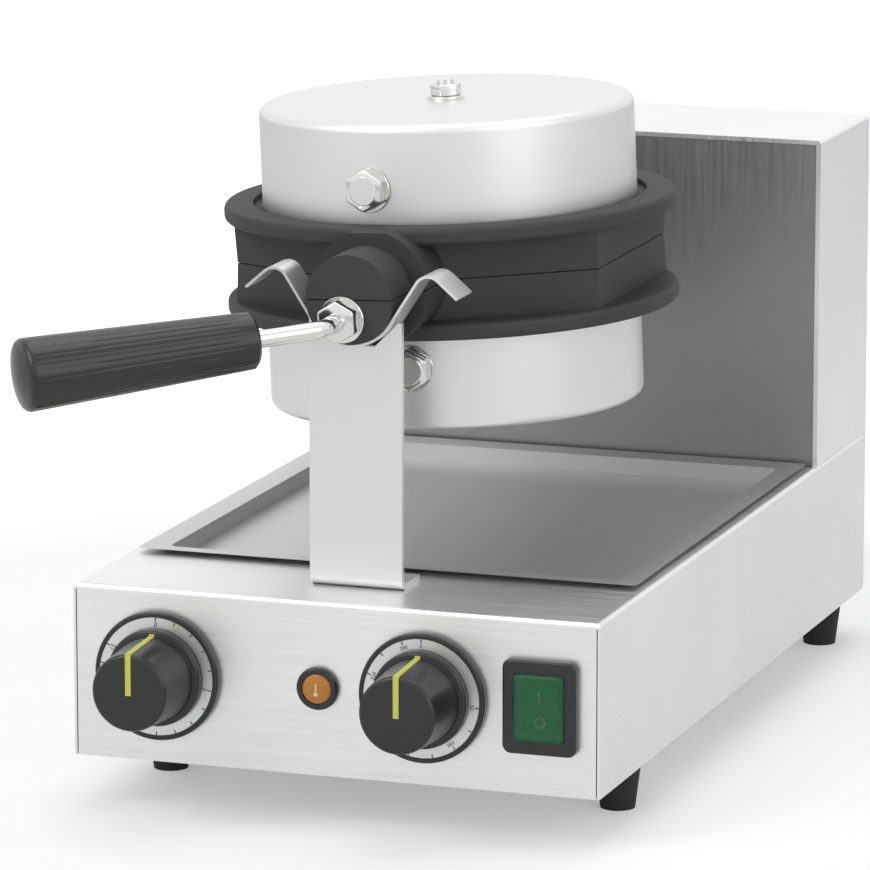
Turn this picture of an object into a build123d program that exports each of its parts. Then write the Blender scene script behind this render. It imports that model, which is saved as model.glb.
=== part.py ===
from build123d import *
import os
from math import cos, radians, sin, sqrt

os.makedirs("parts", exist_ok=True)

# Rotating bubble waffle maker. Origin on the bench, on the centre line,
# at the middle of the overall length with the handle.
# X is to the right, Y to the back, Z up. All sizes are in millimetres.

# Housing
base_width = 250.0
base_depth = 440.0
base_height = 80.0
foot_height = 24.0
handle_overhang = 48.0
sheet = 1.2
fold_radius = 2.2
seam = 0.5
tower_depth = 90.0
tower_rise = 162.0
tower_sheet = 2.2
front_plate_inset = 0.8

# Feet
foot_top_radius = 11.0
foot_bottom_radius = 8.0
foot_inset_x = 16.0
foot_inset_front = 78.0
foot_inset_back = 24.0

# Drip tray
tray_side_margin = 4.5
tray_front_margin = 67.0
tray_back_gap = 2.5
tray_rim_lift = 2.2
tray_rim_width = 10.5
tray_seat_gap = 0.3
tray_sheet = 1.0
tray_pan_depth = 9.0
tray_clearance = 1.0

# Controls on the front panel
control_height = 40.5
timer_x = -83.5
thermostat_x = 43.0
lamp_x = -7.0
switch_x = 98.0
bezel_radius = 29.7
bezel_depth = 4.5
dial_radius = 27.4
dial_bore_radius = 6.5
skirt_radius = 22.3
skirt_depth = 4.0
knob_root_radius = 19.4
knob_face_radius = 17.8
knob_reach = 38.0
knob_gap = 0.5
spindle_radius = 3.0
spindle_hole_radius = 5.5
pointer_width = 2.6
pointer_proud = 0.35
pointer_thickness = 1.6
dial_thickness = 0.8
lamp_bezel_radius = 9.8
lamp_lens_radius = 7.0
lamp_body_radius = 7.6
lamp_bezel_depth = 3.2
switch_width = 34.4
switch_height = 43.0
switch_frame_depth = 4.5
cap_width = 24.0
cap_height = 31.0
cap_depth = 7.0
cap_wall = 1.0
rocker_width = 17.0
rocker_height = 24.0
rocker_throw = 12.0

# Rotating head: centre, lean and proportions
head_back = 163.0
head_rise = 133.5
head_lean = -2.4
plate_circumradius = 101.0
plate_body_depth = 18.0
plate_draft = -2.5
flange_radius = 105.0
flange_thickness = 7.6
parting_gap = 0.5
drum_radius = 87.0
drum_height = 44.6
drum_wall = 1.2
drum_corner = 4.0
drum_groove_width = 4.5
drum_groove_depth = 2.5
drum_fit = 0.2

# Bubble cavities
field_circumradius = 92.0
field_depth = 2.5
bubble_pitch = 23.0
bubble_rings = 3
bubble_radius = 10.4
bubble_depth = 9.5
bubble_taper = 27.0

# Trunnion boss at the front of the plates
boss_radius = 20.3
boss_reach = 142.0
boss_root_radius = 27.0
boss_root_reach = 114.0

# Handle
rod_radius = 4.0
rod_offset_x = -3.2
rod_offset_up = -8.8
rod_bend_reach = 167.0
rod_bend_radius = 12.0
handle_angle = 49.3
handle_droop = 2.5
grip_start = 33.0
grip_length = 110.0
grip_near_radius = 12.7
grip_far_radius = 16.3
grip_end_round = 3.0
grip_socket = 55.0
nut_across_flats = 17.0
nut_thickness = 8.0
washer_radius = 10.5
washer_thickness = 1.6

# Hinge, yoke and shaft behind the plates
hinge_reach = 111.0
pin_radius = 4.0
hinge_clearance = 0.05
knuckle_radius = 8.0
knuckle_width = 12.0
lower_knuckle_x = 15.0
upper_knuckle_x = 29.0
arm_x = 43.5
arm_width = 10.0
yoke_reach = 142.0
yoke_thickness = 9.0
yoke_height = 22.0
shaft_radius = 8.0
shaft_tail = 24.0
bearing_clearance = 0.05
bush_wall = 4.0
bush_length = 16.0
bearing_wall = 5.0
bearing_flange_radius = 25.0
bearing_flange_thickness = 5.0
collar_radius = 15.0
collar_width = 10.0

# Front support
upright_width = 44.0
upright_sheet = 3.0
upright_back = 30.0
upright_top_above_axis = -11.0
upright_bend_radius = 5.0
upright_foot_length = 24.0
spring_strip = 1.2
spring_depth = 20.0
spring_front = 24.0
cradle_clearance = 0.3

# Derived places
base_bottom = foot_height
base_top = base_bottom + base_height
tower_top = base_top + tower_rise
front_y = handle_overhang - base_depth / 2
back_y = front_y + base_depth
base_mid_y = (front_y + back_y) / 2
tower_front_y = back_y - tower_depth
control_z = base_bottom + control_height
head_y = front_y + head_back
head_z = base_top + head_rise
lean = radians(head_lean)
flange_top = plate_body_depth + flange_thickness
drum_top = flange_top + drum_height

head = Plane(origin=(0, head_y, head_z), x_dir=(cos(lean), 0, -sin(lean)), z_dir=(sin(lean), 0, cos(lean)))
under = Plane(origin=head.origin, x_dir=-head.x_dir, z_dir=-head.z_dir)


def wall(frame, back):
    """Upright plane of a head frame, facing the front, at a distance behind the head centre."""
    return Plane(origin=frame.from_local_coords((0, back, 0)), x_dir=frame.x_dir, z_dir=(0, -1, 0))


def cheek(frame, right):
    """Side plane of a head frame: sketch X runs to the back, sketch Y along the frame's Z."""
    return Plane(origin=frame.from_local_coords((right, 0, 0)), x_dir=(0, 1, 0), z_dir=frame.x_dir)


def front_wall(y):
    """Upright plane of the housing, facing the front."""
    return Plane(origin=(0, y, 0), x_dir=(1, 0, 0), z_dir=(0, -1, 0))


def side_wall(x):
    """Upright plane of the housing, facing right: sketch X runs to the back, sketch Y up."""
    return Plane(origin=(x, 0, 0), x_dir=(0, 1, 0), z_dir=(1, 0, 0))


def dome_at(radius, rise, r):
    """Height of a spherical dome of the given rim radius and rise, at a distance r from its axis."""
    ball = (radius**2 + rise**2) / (2 * rise)
    return rise - ball + sqrt(ball**2 - r**2)


def save(piece, name):
    """Label a finished piece and write it under its own name."""
    piece.part.label = name
    export_step(piece.part, "parts/" + name + ".step")


# Drip tray opening in the top of the base
tray_width = base_width - 2 * tray_side_margin
tray_front_y = front_y + tray_front_margin
tray_back_y = tower_front_y - tray_back_gap
tray_length = tray_back_y - tray_front_y
tray_centre_y = (tray_front_y + tray_back_y) / 2
pan_width = tray_width - 2 * tray_rim_width
pan_length = tray_length - 2 * tray_rim_width
foot_places = [
    (side * (base_width / 2 - foot_inset_x), y)
    for y in (front_y + foot_inset_front, back_y - foot_inset_back)
    for side in (-1, 1)
]

# Base housing: folded top, front and sides, open below and behind
with BuildPart() as base_housing:
    with BuildSketch(Plane.XY.offset(base_bottom)):
        with Locations((0, base_mid_y - sheet / 2)):
            Rectangle(base_width, base_depth - sheet)
    extrude(amount=base_height)
    top_edges = base_housing.edges().group_by(Axis.Z)[-1]
    fillet(top_edges.sort_by(Axis.Y)[:-1], fold_radius)
    with BuildSketch(Plane.XY.offset(base_bottom)):
        with Locations((0, base_mid_y)):
            Rectangle(base_width - 2 * sheet, base_depth - 2 * sheet)
    extrude(amount=base_height - sheet, mode=Mode.SUBTRACT)
    with BuildSketch(Plane.XY.offset(base_top)):
        with Locations((0, tray_centre_y)):
            RectangleRounded(pan_width + 2 * tray_clearance, pan_length + 2 * tray_clearance, 6)
    extrude(amount=-2 * sheet, mode=Mode.SUBTRACT)
    with BuildSketch(front_wall(front_y)):
        with Locations((timer_x, control_z), (thermostat_x, control_z)):
            Circle(spindle_hole_radius)
        with Locations((lamp_x, control_z)):
            Circle(lamp_body_radius + cradle_clearance)
        with Locations((switch_x, control_z)):
            Rectangle(cap_width - 1, cap_height + 1)
    extrude(amount=-2 * sheet, mode=Mode.SUBTRACT)
    with BuildSketch(Plane.XY.offset(base_bottom)):
        with Locations((base_width / 2 - sheet - seam / 2, front_y), (-base_width / 2 + sheet + seam / 2, front_y)):
            Rectangle(seam, 2 * sheet)
    extrude(amount=base_height - fold_radius - seam, mode=Mode.SUBTRACT)
save(base_housing, "base_housing")

# Bottom plate with vent slots and foot holes
foot_screw_radius = 2.5
with BuildPart() as bottom_plate:
    with BuildSketch(Plane.XY.offset(base_bottom)):
        with Locations((0, base_mid_y)):
            Rectangle(base_width - 2 * sheet - 2 * seam, base_depth - 2 * sheet - 2 * seam)
        with Locations(*foot_places):
            Circle(foot_screw_radius + cradle_clearance, mode=Mode.SUBTRACT)
        with Locations((0, base_mid_y)):
            with GridLocations(18, 120, 7, 2):
                SlotOverall(60, 5, rotation=90, mode=Mode.SUBTRACT)
    extrude(amount=sheet)
save(bottom_plate, "bottom_plate")

# Tower shell: folded top and sides
with BuildPart() as tower_shell:
    with BuildSketch(front_wall(tower_front_y)):
        with Locations((0, (base_top + tower_top) / 2)):
            Rectangle(base_width, tower_rise)
    extrude(amount=-(tower_depth - sheet))
    long_edges = tower_shell.edges().filter_by(Axis.Y).group_by(Axis.Z)[-1]
    fillet(long_edges, fold_radius)
    with BuildSketch(front_wall(tower_front_y)):
        with Locations((0, (base_top + tower_top) / 2 - tower_sheet)):
            Rectangle(base_width - 2 * tower_sheet, tower_rise)
    extrude(amount=-tower_depth, mode=Mode.SUBTRACT)
save(tower_shell, "tower_shell")

# Tower front plate, set a little back between the sides, with the shaft and bearing holes
bearing_bolt_radius = 20.8
bearing_bolts = 4
front_plate_y = tower_front_y + front_plate_inset
with BuildPart() as tower_front_plate:
    with BuildSketch(front_wall(front_plate_y)):
        with Locations((0, (base_top + tower_top - tower_sheet) / 2)):
            Rectangle(base_width - 2 * tower_sheet - seam, tower_rise - tower_sheet - seam)
        with Locations((0, head_z)):
            Circle(shaft_radius + cradle_clearance, mode=Mode.SUBTRACT)
            with PolarLocations(bearing_bolt_radius, bearing_bolts, start_angle=45):
                Circle(2.2, mode=Mode.SUBTRACT)
    extrude(amount=-sheet)
save(tower_front_plate, "tower_front_plate")

# Rear cover over the back of the base and the tower, with louvres and a cable hole
gland_x = 80.0
gland_z = base_bottom + 32.0
gland_hole_radius = 8.0
with BuildPart() as rear_cover:
    with BuildSketch(front_wall(back_y)):
        with Locations((0, (base_bottom + tower_top) / 2)):
            RectangleRounded(base_width, tower_top - base_bottom, fold_radius)
        with Locations((gland_x, gland_z)):
            Circle(gland_hole_radius + cradle_clearance, mode=Mode.SUBTRACT)
        with Locations((0, tower_top - 45), (0, base_bottom + 55)):
            with GridLocations(0, 10, 1, 3):
                SlotOverall(70, 4, mode=Mode.SUBTRACT)
    extrude(amount=sheet)
save(rear_cover, "rear_cover")

# Screws that hold the rear cover to the shell, and the bearing housing to the front plate
cover_screw_x = base_width / 2 - 9.0
with BuildPart() as housing_screws:
    with BuildSketch(Plane(origin=(0, back_y, 0), x_dir=(-1, 0, 0), z_dir=(0, 1, 0))):
        for z in (base_bottom + 12, base_top + 16, tower_top - 12):
            with Locations((cover_screw_x, z), (-cover_screw_x, z)):
                Circle(3.4)
    extrude(amount=1.8)
    fillet(housing_screws.faces().group_by(Axis.Y)[-1].edges(), 0.9)
    with BuildSketch(front_wall(front_plate_y)):
        with Locations((0, head_z)):
            with PolarLocations(bearing_bolt_radius, bearing_bolts, start_angle=45):
                Circle(3.3)
    extrude(amount=2.2)
    fillet(housing_screws.faces().group_by(Axis.Y)[0].edges(), 1.0)
    with BuildSketch(front_wall(front_plate_y)):
        with Locations((0, head_z)):
            with PolarLocations(bearing_bolt_radius, bearing_bolts, start_angle=45):
                Circle(2.0)
    extrude(amount=-(sheet + bearing_flange_thickness))
save(housing_screws, "housing_screws")

# Cable gland and its lock nut
with BuildPart() as cable_gland:
    with BuildSketch(Plane(origin=(gland_x, back_y, gland_z), x_dir=(-1, 0, 0), z_dir=(0, 1, 0))) as gland_flange:
        RegularPolygon(12.0, 6)
    extrude(amount=5.0)
    with BuildSketch(Plane(origin=(gland_x, back_y + 5, gland_z), x_dir=(-1, 0, 0), z_dir=(0, 1, 0))):
        Circle(9.5)
    extrude(amount=9.0, taper=8)
    with BuildSketch(Plane(origin=(gland_x, back_y, gland_z), x_dir=(-1, 0, 0), z_dir=(0, 1, 0))):
        Circle(gland_hole_radius)
    extrude(amount=-12.0)
    with BuildSketch(Plane(origin=(gland_x, back_y - 12, gland_z), x_dir=(-1, 0, 0), z_dir=(0, 1, 0))):
        Circle(4.2)
    extrude(amount=26.0, mode=Mode.SUBTRACT)
save(cable_gland, "cable_gland")

with BuildPart() as cable_gland_nut:
    with BuildSketch(front_wall(back_y - sheet)):
        with Locations((gland_x, gland_z)):
            RegularPolygon(11.0, 6)
            Circle(gland_hole_radius + hinge_clearance, mode=Mode.SUBTRACT)
    extrude(amount=4.0)
save(cable_gland_nut, "cable_gland_nut")

# Feet: tapered rubber with a counterbored screw hole
foot_names = ["foot_front_left", "foot_front_right", "foot_rear_left", "foot_rear_right"]
foot_bore_depth = 8.0
for name, (x, y) in zip(foot_names, foot_places):
    with BuildPart() as foot:
        with BuildSketch(Plane(origin=(x, y, 0))):
            Circle(foot_bottom_radius)
        with BuildSketch(Plane(origin=(x, y, foot_height))):
            Circle(foot_top_radius)
        loft()
        with BuildSketch(Plane(origin=(x, y, 0))):
            Circle(5.0)
        extrude(amount=foot_bore_depth, mode=Mode.SUBTRACT)
        with BuildSketch(Plane(origin=(x, y, 0))):
            Circle(foot_screw_radius + cradle_clearance)
        extrude(amount=foot_height, mode=Mode.SUBTRACT)
    save(foot, name)

with BuildPart() as foot_screws:
    with BuildSketch(Plane.XY.offset(foot_bore_depth - 3.0)):
        with Locations(*foot_places):
            Circle(4.4)
    extrude(amount=3.0)
    with BuildSketch(Plane.XY.offset(foot_bore_depth)):
        with Locations(*foot_places):
            Circle(foot_screw_radius)
    extrude(amount=foot_height - foot_bore_depth + sheet + 6.0)
save(foot_screws, "foot_screws")

# Drip tray: sloping rim that stands on the base, and a shallow pan
rim_inner_z = base_top + tray_seat_gap
pan_corner = 5.0
with BuildPart() as drip_tray:
    with BuildSketch(Plane.XY.offset(rim_inner_z)):
        with Locations((0, tray_centre_y)):
            RectangleRounded(pan_width, pan_length, pan_corner)
    with BuildSketch(Plane.XY.offset(base_top + tray_rim_lift)):
        with Locations((0, tray_centre_y)):
            RectangleRounded(tray_width, tray_length, 2.0)
    loft()
    with BuildSketch(Plane.XY.offset(rim_inner_z + tray_sheet)):
        with Locations((0, tray_centre_y)):
            RectangleRounded(pan_width, pan_length, pan_corner)
    with BuildSketch(Plane.XY.offset(base_top + tray_rim_lift + tray_sheet)):
        with Locations((0, tray_centre_y)):
            RectangleRounded(tray_width, tray_length, 2.0)
    loft(mode=Mode.SUBTRACT)
    with BuildSketch(Plane.XY.offset(rim_inner_z + tray_sheet - tray_pan_depth)):
        with Locations((0, tray_centre_y)):
            RectangleRounded(pan_width, pan_length, pan_corner)
    extrude(amount=tray_pan_depth)
    with BuildSketch(Plane.XY.offset(rim_inner_z + 2 * tray_sheet - tray_pan_depth)):
        with Locations((0, tray_centre_y)):
            RectangleRounded(pan_width - 2 * tray_sheet, pan_length - 2 * tray_sheet, pan_corner - tray_sheet)
    extrude(amount=tray_pan_depth, mode=Mode.SUBTRACT)
save(drip_tray, "drip_tray")

# Front support strip with a foot folded to the back and an eight-sided notch for the cradle
axis_z_at_support = head_z
upright_top = axis_z_at_support + upright_top_above_axis
upright_y = front_y + upright_back
cradle_inner = boss_radius + cradle_clearance
notch_radius = cradle_inner + spring_strip + cradle_clearance
with BuildPart() as front_upright:
    with BuildSketch(side_wall(-upright_width / 2)):
        with BuildLine():
            Polyline(
                (upright_y, upright_top),
                (upright_y, base_top),
                (upright_y + upright_foot_length, base_top),
                (upright_y + upright_foot_length, base_top + upright_sheet),
                (upright_y + upright_sheet, base_top + upright_sheet),
                (upright_y + upright_sheet, upright_top),
                close=True,
            )
        make_face()
    extrude(amount=upright_width)
    bends = front_upright.edges().filter_by(Axis.X)
    fillet(bends.filter_by_position(Axis.Y, upright_y - 0.1, upright_y + 0.1).group_by(Axis.Z)[0], upright_bend_radius)
    inner_bend = bends.filter_by_position(Axis.Z, base_top + 2.9, base_top + 3.1)
    fillet(inner_bend.sort_by(Axis.Y)[0], upright_bend_radius - upright_sheet)
    with BuildSketch(front_wall(upright_y)):
        with Locations((0, axis_z_at_support)):
            RegularPolygon(notch_radius, 8, major_radius=False, rotation=22.5)
    extrude(amount=-2 * upright_sheet, mode=Mode.SUBTRACT)
    with Locations(Plane(origin=(0, upright_y + 15, base_top + upright_sheet))):
        with GridLocations(26, 0, 2, 1):
            Hole(2.6, depth=upright_sheet)
save(front_upright, "front_upright")

with BuildPart() as upright_screws:
    with BuildSketch(Plane.XY.offset(base_top + upright_sheet)):
        with Locations((-13, upright_y + 15), (13, upright_y + 15)):
            Circle(4.2)
    extrude(amount=2.4)
    fillet(upright_screws.faces().group_by(Axis.Z)[-1].edges(), 1.2)
    with BuildSketch(Plane.XY.offset(base_top + upright_sheet)):
        with Locations((-13, upright_y + 15), (13, upright_y + 15)):
            Circle(2.2)
    extrude(amount=-upright_sheet)
save(upright_screws, "upright_screws")

# Cradle spring: a bent strip with a round seat, two humps and turned-down tips
hump_x = 36.5
hump_up = 12.0
hump_radius = 6.5
tip_x = 50.0
tip_up = 2.5
flank_angle = radians(57.0)
drop_angle = radians(40.0)
seat_radius = cradle_inner + spring_strip / 2
with BuildPart() as cradle_spring:
    with BuildSketch(Plane(origin=(0, front_y + spring_front, head_z), x_dir=(1, 0, 0), z_dir=(0, -1, 0))):
        with BuildLine() as strip_line:
            seat_end = (seat_radius * sin(flank_angle), -seat_radius * cos(flank_angle))
            crown = (hump_x - hump_radius * sin(flank_angle), hump_up - hump_radius * (1 - cos(flank_angle)))
            drop = (hump_x + hump_radius * sin(drop_angle), hump_up - hump_radius * (1 - cos(drop_angle)))
            ThreePointArc((-seat_end[0], seat_end[1]), (0, -seat_radius), seat_end)
            for side in (-1, 1):
                Line((side * seat_end[0], seat_end[1]), (side * crown[0], crown[1]))
                ThreePointArc((side * crown[0], crown[1]), (side * hump_x, hump_up), (side * drop[0], drop[1]))
                Line((side * drop[0], drop[1]), (side * tip_x, tip_up))
        trace(strip_line.line, line_width=spring_strip)
    extrude(amount=-spring_depth)
save(cradle_spring, "cradle_spring")


stud_radius = 4.0
stud_root = 12.0
stud_top = drum_top + 9.0
rod_root = 12.0


# Each half of the head, built on its own frame so that its Z points away from the parting plane
def bubble_places():
    """Centres of the cavities: rings of a hexagonal pattern whose rows of seven run front to back."""
    places = []
    for row in range(-bubble_rings, bubble_rings + 1):
        count = 2 * bubble_rings + 1 - abs(row)
        for n in range(count):
            places.append((row * bubble_pitch * sqrt(3) / 2, (n - (count - 1) / 2) * bubble_pitch))
    return places


def make_plate(frame, knuckle_x, name):
    """Cast plate with its flange, bubble cavities, boss seat and two hinge knuckles."""
    with BuildPart() as plate:
        with BuildSketch(frame.offset(parting_gap / 2)):
            RegularPolygon(plate_circumradius, 6, rotation=90)
        extrude(amount=plate_body_depth, taper=plate_draft)
        with BuildSketch(frame.offset(plate_body_depth)):
            Circle(flange_radius)
        extrude(amount=flange_thickness)
        rims = plate.edges().filter_by(GeomType.CIRCLE).filter_by(lambda e: e.radius > flange_radius - 1)
        fillet(rims, 2.4)
        with BuildSketch(wall(frame, -boss_root_reach)):
            Circle(boss_root_radius)
            with Locations((0, -boss_root_radius)):
                Rectangle(3 * boss_root_radius, 2 * boss_root_radius + parting_gap, mode=Mode.SUBTRACT)
            with Locations((0, flange_top + boss_root_radius)):
                Rectangle(3 * boss_root_radius, 2 * boss_root_radius, mode=Mode.SUBTRACT)
        extrude(amount=-30)
        for x in (-knuckle_x, knuckle_x):
            with BuildSketch(cheek(frame, x - knuckle_width / 2)):
                with BuildLine():
                    Polyline(
                        (hinge_reach, -knuckle_radius),
                        (hinge_reach - knuckle_radius, 0),
                        (hinge_reach - knuckle_radius, parting_gap),
                        (plate_circumradius - 30, parting_gap),
                        (plate_circumradius - 30, flange_top - 3),
                        (flange_radius - 8, flange_top - 3),
                        (hinge_reach + knuckle_radius * 0.7, knuckle_radius * 0.7),
                        (hinge_reach, -knuckle_radius),
                    )
                make_face()
                with Locations((hinge_reach, 0)):
                    Circle(knuckle_radius)
            extrude(amount=knuckle_width)
        with BuildSketch(frame.offset(flange_top)):
            Circle(drum_radius + drum_groove_width)
            Circle(drum_radius - drum_groove_width, mode=Mode.SUBTRACT)
        extrude(amount=-drum_groove_depth, mode=Mode.SUBTRACT)
        with BuildSketch(cheek(frame, -hinge_reach)):
            with Locations((hinge_reach, 0)):
                Circle(pin_radius + hinge_clearance)
        extrude(amount=2 * hinge_reach, mode=Mode.SUBTRACT)
        with BuildSketch(frame):
            RegularPolygon(field_circumradius, 6, rotation=90)
        extrude(amount=field_depth + parting_gap / 2, mode=Mode.SUBTRACT)
        with BuildSketch(frame.offset(field_depth)):
            with Locations(*bubble_places()):
                RegularPolygon(bubble_radius, 8)
        extrude(amount=bubble_depth, taper=bubble_taper, mode=Mode.SUBTRACT)
        with BuildSketch(frame.offset(flange_top)):
            Circle(stud_radius)
        extrude(amount=-stud_root, mode=Mode.SUBTRACT)
    save(plate, name)


def make_boss(frame, name, holds_rod=False):
    """Half of the round boss that turns in the cradle, with the rod's hole in the half that holds the handle."""
    with BuildPart() as boss:
        with BuildSketch(wall(frame, -boss_reach)):
            Circle(boss_radius)
            with Locations((0, -boss_radius)):
                Rectangle(3 * boss_radius, 2 * boss_radius + parting_gap, mode=Mode.SUBTRACT)
        extrude(amount=-(boss_reach - boss_root_reach))
        if holds_rod:
            with BuildSketch(wall(head, -boss_reach)):
                with Locations((rod_offset_x, rod_offset_up)):
                    Circle(rod_radius + hinge_clearance)
            extrude(amount=-(rod_root + 1.0), mode=Mode.SUBTRACT)
    save(boss, name)


element_radius = 55.0
element_tube = 4.0
drum_inner_base = flange_top - drum_groove_depth + drum_fit
drum_bolt_up = 41.0
drum_bolt_turn = -5.5
drum_bolt_flats = 17.0
drum_bolt_head = 6.5
drum_bolt_radius = 5.0


def make_drum(frame, name):
    """Spun cover over the heater: a cup with a rounded rim, stud hole and bolt hole."""
    with BuildPart() as drum:
        with BuildSketch(frame.offset(drum_inner_base)):
            Circle(drum_radius)
        extrude(amount=drum_top - drum_inner_base)
        fillet(drum.edges().filter_by(GeomType.CIRCLE).sort_by(lambda e: frame.to_local_coords(e.center()).Z)[-1], drum_corner)
        with BuildSketch(frame.offset(drum_inner_base)):
            Circle(drum_radius - drum_wall)
        extrude(amount=drum_top - drum_wall - drum_inner_base, mode=Mode.SUBTRACT)
        with BuildSketch(frame.offset(drum_top)):
            Circle(stud_radius + cradle_clearance)
        extrude(amount=-3 * drum_wall, mode=Mode.SUBTRACT)
        with BuildSketch(bolt_plane(frame)):
            Circle(drum_bolt_radius + cradle_clearance)
        extrude(amount=-8.0, both=True, mode=Mode.SUBTRACT)
    save(drum, name)


def bolt_plane(frame):
    """Plane touching the drum's side where its bolt enters, facing outwards."""
    turn = radians(drum_bolt_turn)
    reach = drum_radius
    spot = frame.from_local_coords((reach * sin(turn), -reach * cos(turn), drum_bolt_up))
    out = frame.from_local_coords((sin(turn), -cos(turn), 0)) - frame.origin
    return Plane(origin=spot, x_dir=frame.z_dir, z_dir=out)


def make_drum_hardware(frame, prefix):
    """Stud, nut, side bolt and heating element of one half."""
    with BuildPart() as stud:
        with BuildSketch(frame.offset(flange_top - stud_root)):
            Circle(stud_radius)
        extrude(amount=stud_top - flange_top + stud_root)
    save(stud, prefix + "_stud")
    with BuildPart() as nut:
        with BuildSketch(frame.offset(drum_top)):
            Circle(8.6)
            Circle(stud_radius + hinge_clearance, mode=Mode.SUBTRACT)
        extrude(amount=1.6)
        with BuildSketch(frame.offset(drum_top + 1.6)):
            RegularPolygon(7.5, 6)
            Circle(stud_radius + hinge_clearance, mode=Mode.SUBTRACT)
        extrude(amount=5.4)
    save(nut, prefix + "_stud_nut")
    with BuildPart() as bolt:
        with BuildSketch(bolt_plane(frame).offset(0.3)):
            RegularPolygon(drum_bolt_flats / sqrt(3), 6)
        extrude(amount=drum_bolt_head)
        with BuildSketch(bolt_plane(frame).offset(0.3)):
            Circle(drum_bolt_radius)
        extrude(amount=-16.0)
    save(bolt, prefix + "_drum_bolt")
    with BuildPart() as element:
        ring_frame = frame.offset(flange_top + element_tube)
        with BuildSketch(cheek(ring_frame, 0)):
            with Locations((element_radius, 0)):
                Circle(element_tube)
        revolve(axis=Axis(ring_frame.origin, ring_frame.z_dir), revolution_arc=320)
    save(element, prefix + "_heating_element")


make_plate(head, upper_knuckle_x, "upper_plate")
make_plate(under, lower_knuckle_x, "lower_plate")
make_boss(head, "upper_boss")
make_boss(under, "lower_boss", holds_rod=True)
make_drum(head, "upper_drum")
make_drum(under, "lower_drum")
make_drum_hardware(head, "upper")
make_drum_hardware(under, "lower")

# Handle: a bent rod screwed into the lower boss, with a flanged nut and a tapered grip
rod_start = (rod_offset_x, -boss_reach + rod_root, rod_offset_up)
rod_corner = (rod_offset_x, -rod_bend_reach, rod_offset_up)
swing = radians(handle_angle)
droop = radians(handle_droop)
run = Vector(-sin(swing) * cos(droop), -cos(swing) * cos(droop), -sin(droop))
grip_base = Vector(*rod_corner) + run * grip_start
rod_end = grip_base + run * grip_socket
with BuildPart() as handle_rod:
    with BuildLine() as rod_path:
        points = [head.from_local_coords(p) for p in (rod_start, rod_corner, tuple(rod_end))]
        FilletPolyline(*points, radius=rod_bend_radius)
    with BuildSketch(Plane(origin=points[0], z_dir=(0, -1, 0))):
        Circle(rod_radius)
    sweep(path=rod_path.line)
save(handle_rod, "handle_rod")

rod_wall = wall(head, -boss_reach)
with BuildPart() as handle_nut:
    with BuildSketch(rod_wall):
        with Locations((rod_offset_x, rod_offset_up)):
            Circle(washer_radius)
            Circle(rod_radius + hinge_clearance, mode=Mode.SUBTRACT)
    extrude(amount=washer_thickness)
    with BuildSketch(rod_wall.offset(washer_thickness)):
        with Locations((rod_offset_x, rod_offset_up)):
            RegularPolygon(nut_across_flats / sqrt(3), 6)
            Circle(rod_radius + hinge_clearance, mode=Mode.SUBTRACT)
    extrude(amount=nut_thickness)
save(handle_nut, "handle_nut")

grip_origin = head.from_local_coords(tuple(grip_base))
grip_axis = head.from_local_coords(tuple(grip_base + run)) - grip_origin
grip_plane = Plane(origin=grip_origin, z_dir=grip_axis)
grip_side = Plane(origin=grip_origin, x_dir=grip_plane.x_dir, z_dir=-grip_plane.y_dir)
grip_dome = 2.2
with BuildPart() as handle_grip:
    with BuildSketch(grip_side):
        with BuildLine():
            shoulder = grip_length - grip_dome - grip_end_round
            rim = (grip_far_radius - grip_end_round, grip_length - grip_dome)
            Polyline(
                (grip_far_radius, shoulder),
                (grip_near_radius, 1.5),
                (grip_near_radius - 1.5, 0),
                (rod_radius + hinge_clearance, 0),
                (rod_radius + hinge_clearance, grip_socket + 1),
                (0, grip_socket + 1),
                (0, grip_length),
            )
            RadiusArc((grip_far_radius, shoulder), rim, -grip_end_round)
            middle = (rim[0] / 2, rim[1] + dome_at(rim[0], grip_dome, rim[0] / 2))
            ThreePointArc(rim, middle, (0, grip_length))
        make_face()
    revolve(axis=Axis(grip_origin, grip_axis))
save(handle_grip, "handle_grip")

# Hinge pin, yoke and shaft
pin_half = arm_x + arm_width / 2 + 3.0
with BuildPart() as hinge_pin:
    with BuildSketch(cheek(head, -pin_half)):
        with Locations((hinge_reach, 0)):
            Circle(pin_radius)
    extrude(amount=2 * pin_half)
    with BuildSketch(cheek(head, pin_half)):
        with Locations((hinge_reach, 0)):
            Circle(pin_radius + 2.2)
    extrude(amount=2.5)
save(hinge_pin, "hinge_pin")

arm_height = 7.5
with BuildPart() as hinge_yoke:
    for x in (-arm_x, arm_x):
        with BuildSketch(cheek(head, x - arm_width / 2)):
            with Locations(((hinge_reach + yoke_reach + yoke_thickness) / 2, 0)):
                Rectangle(yoke_reach + yoke_thickness - hinge_reach, 2 * arm_height)
            with Locations((hinge_reach, 0)):
                Circle(arm_height)
        extrude(amount=arm_width)
    with BuildSketch(wall(head, yoke_reach)):
        RectangleRounded(2 * arm_x + arm_width, yoke_height, 4)
        Circle(shaft_radius, mode=Mode.SUBTRACT)
    extrude(amount=-yoke_thickness)
    with BuildSketch(wall(head, yoke_reach + yoke_thickness)):
        Circle(shaft_radius + 5)
        Circle(shaft_radius, mode=Mode.SUBTRACT)
    extrude(amount=-8.0)
    with BuildSketch(cheek(head, -pin_half)):
        with Locations((hinge_reach, 0)):
            Circle(pin_radius)
    extrude(amount=2 * pin_half, mode=Mode.SUBTRACT)
save(hinge_yoke, "hinge_yoke")

shaft_length = back_y - shaft_tail - (head_y + yoke_reach)
with BuildPart() as head_shaft:
    with BuildSketch(wall(head, yoke_reach)):
        Circle(shaft_radius)
    extrude(amount=-shaft_length)
save(head_shaft, "head_shaft")

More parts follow.
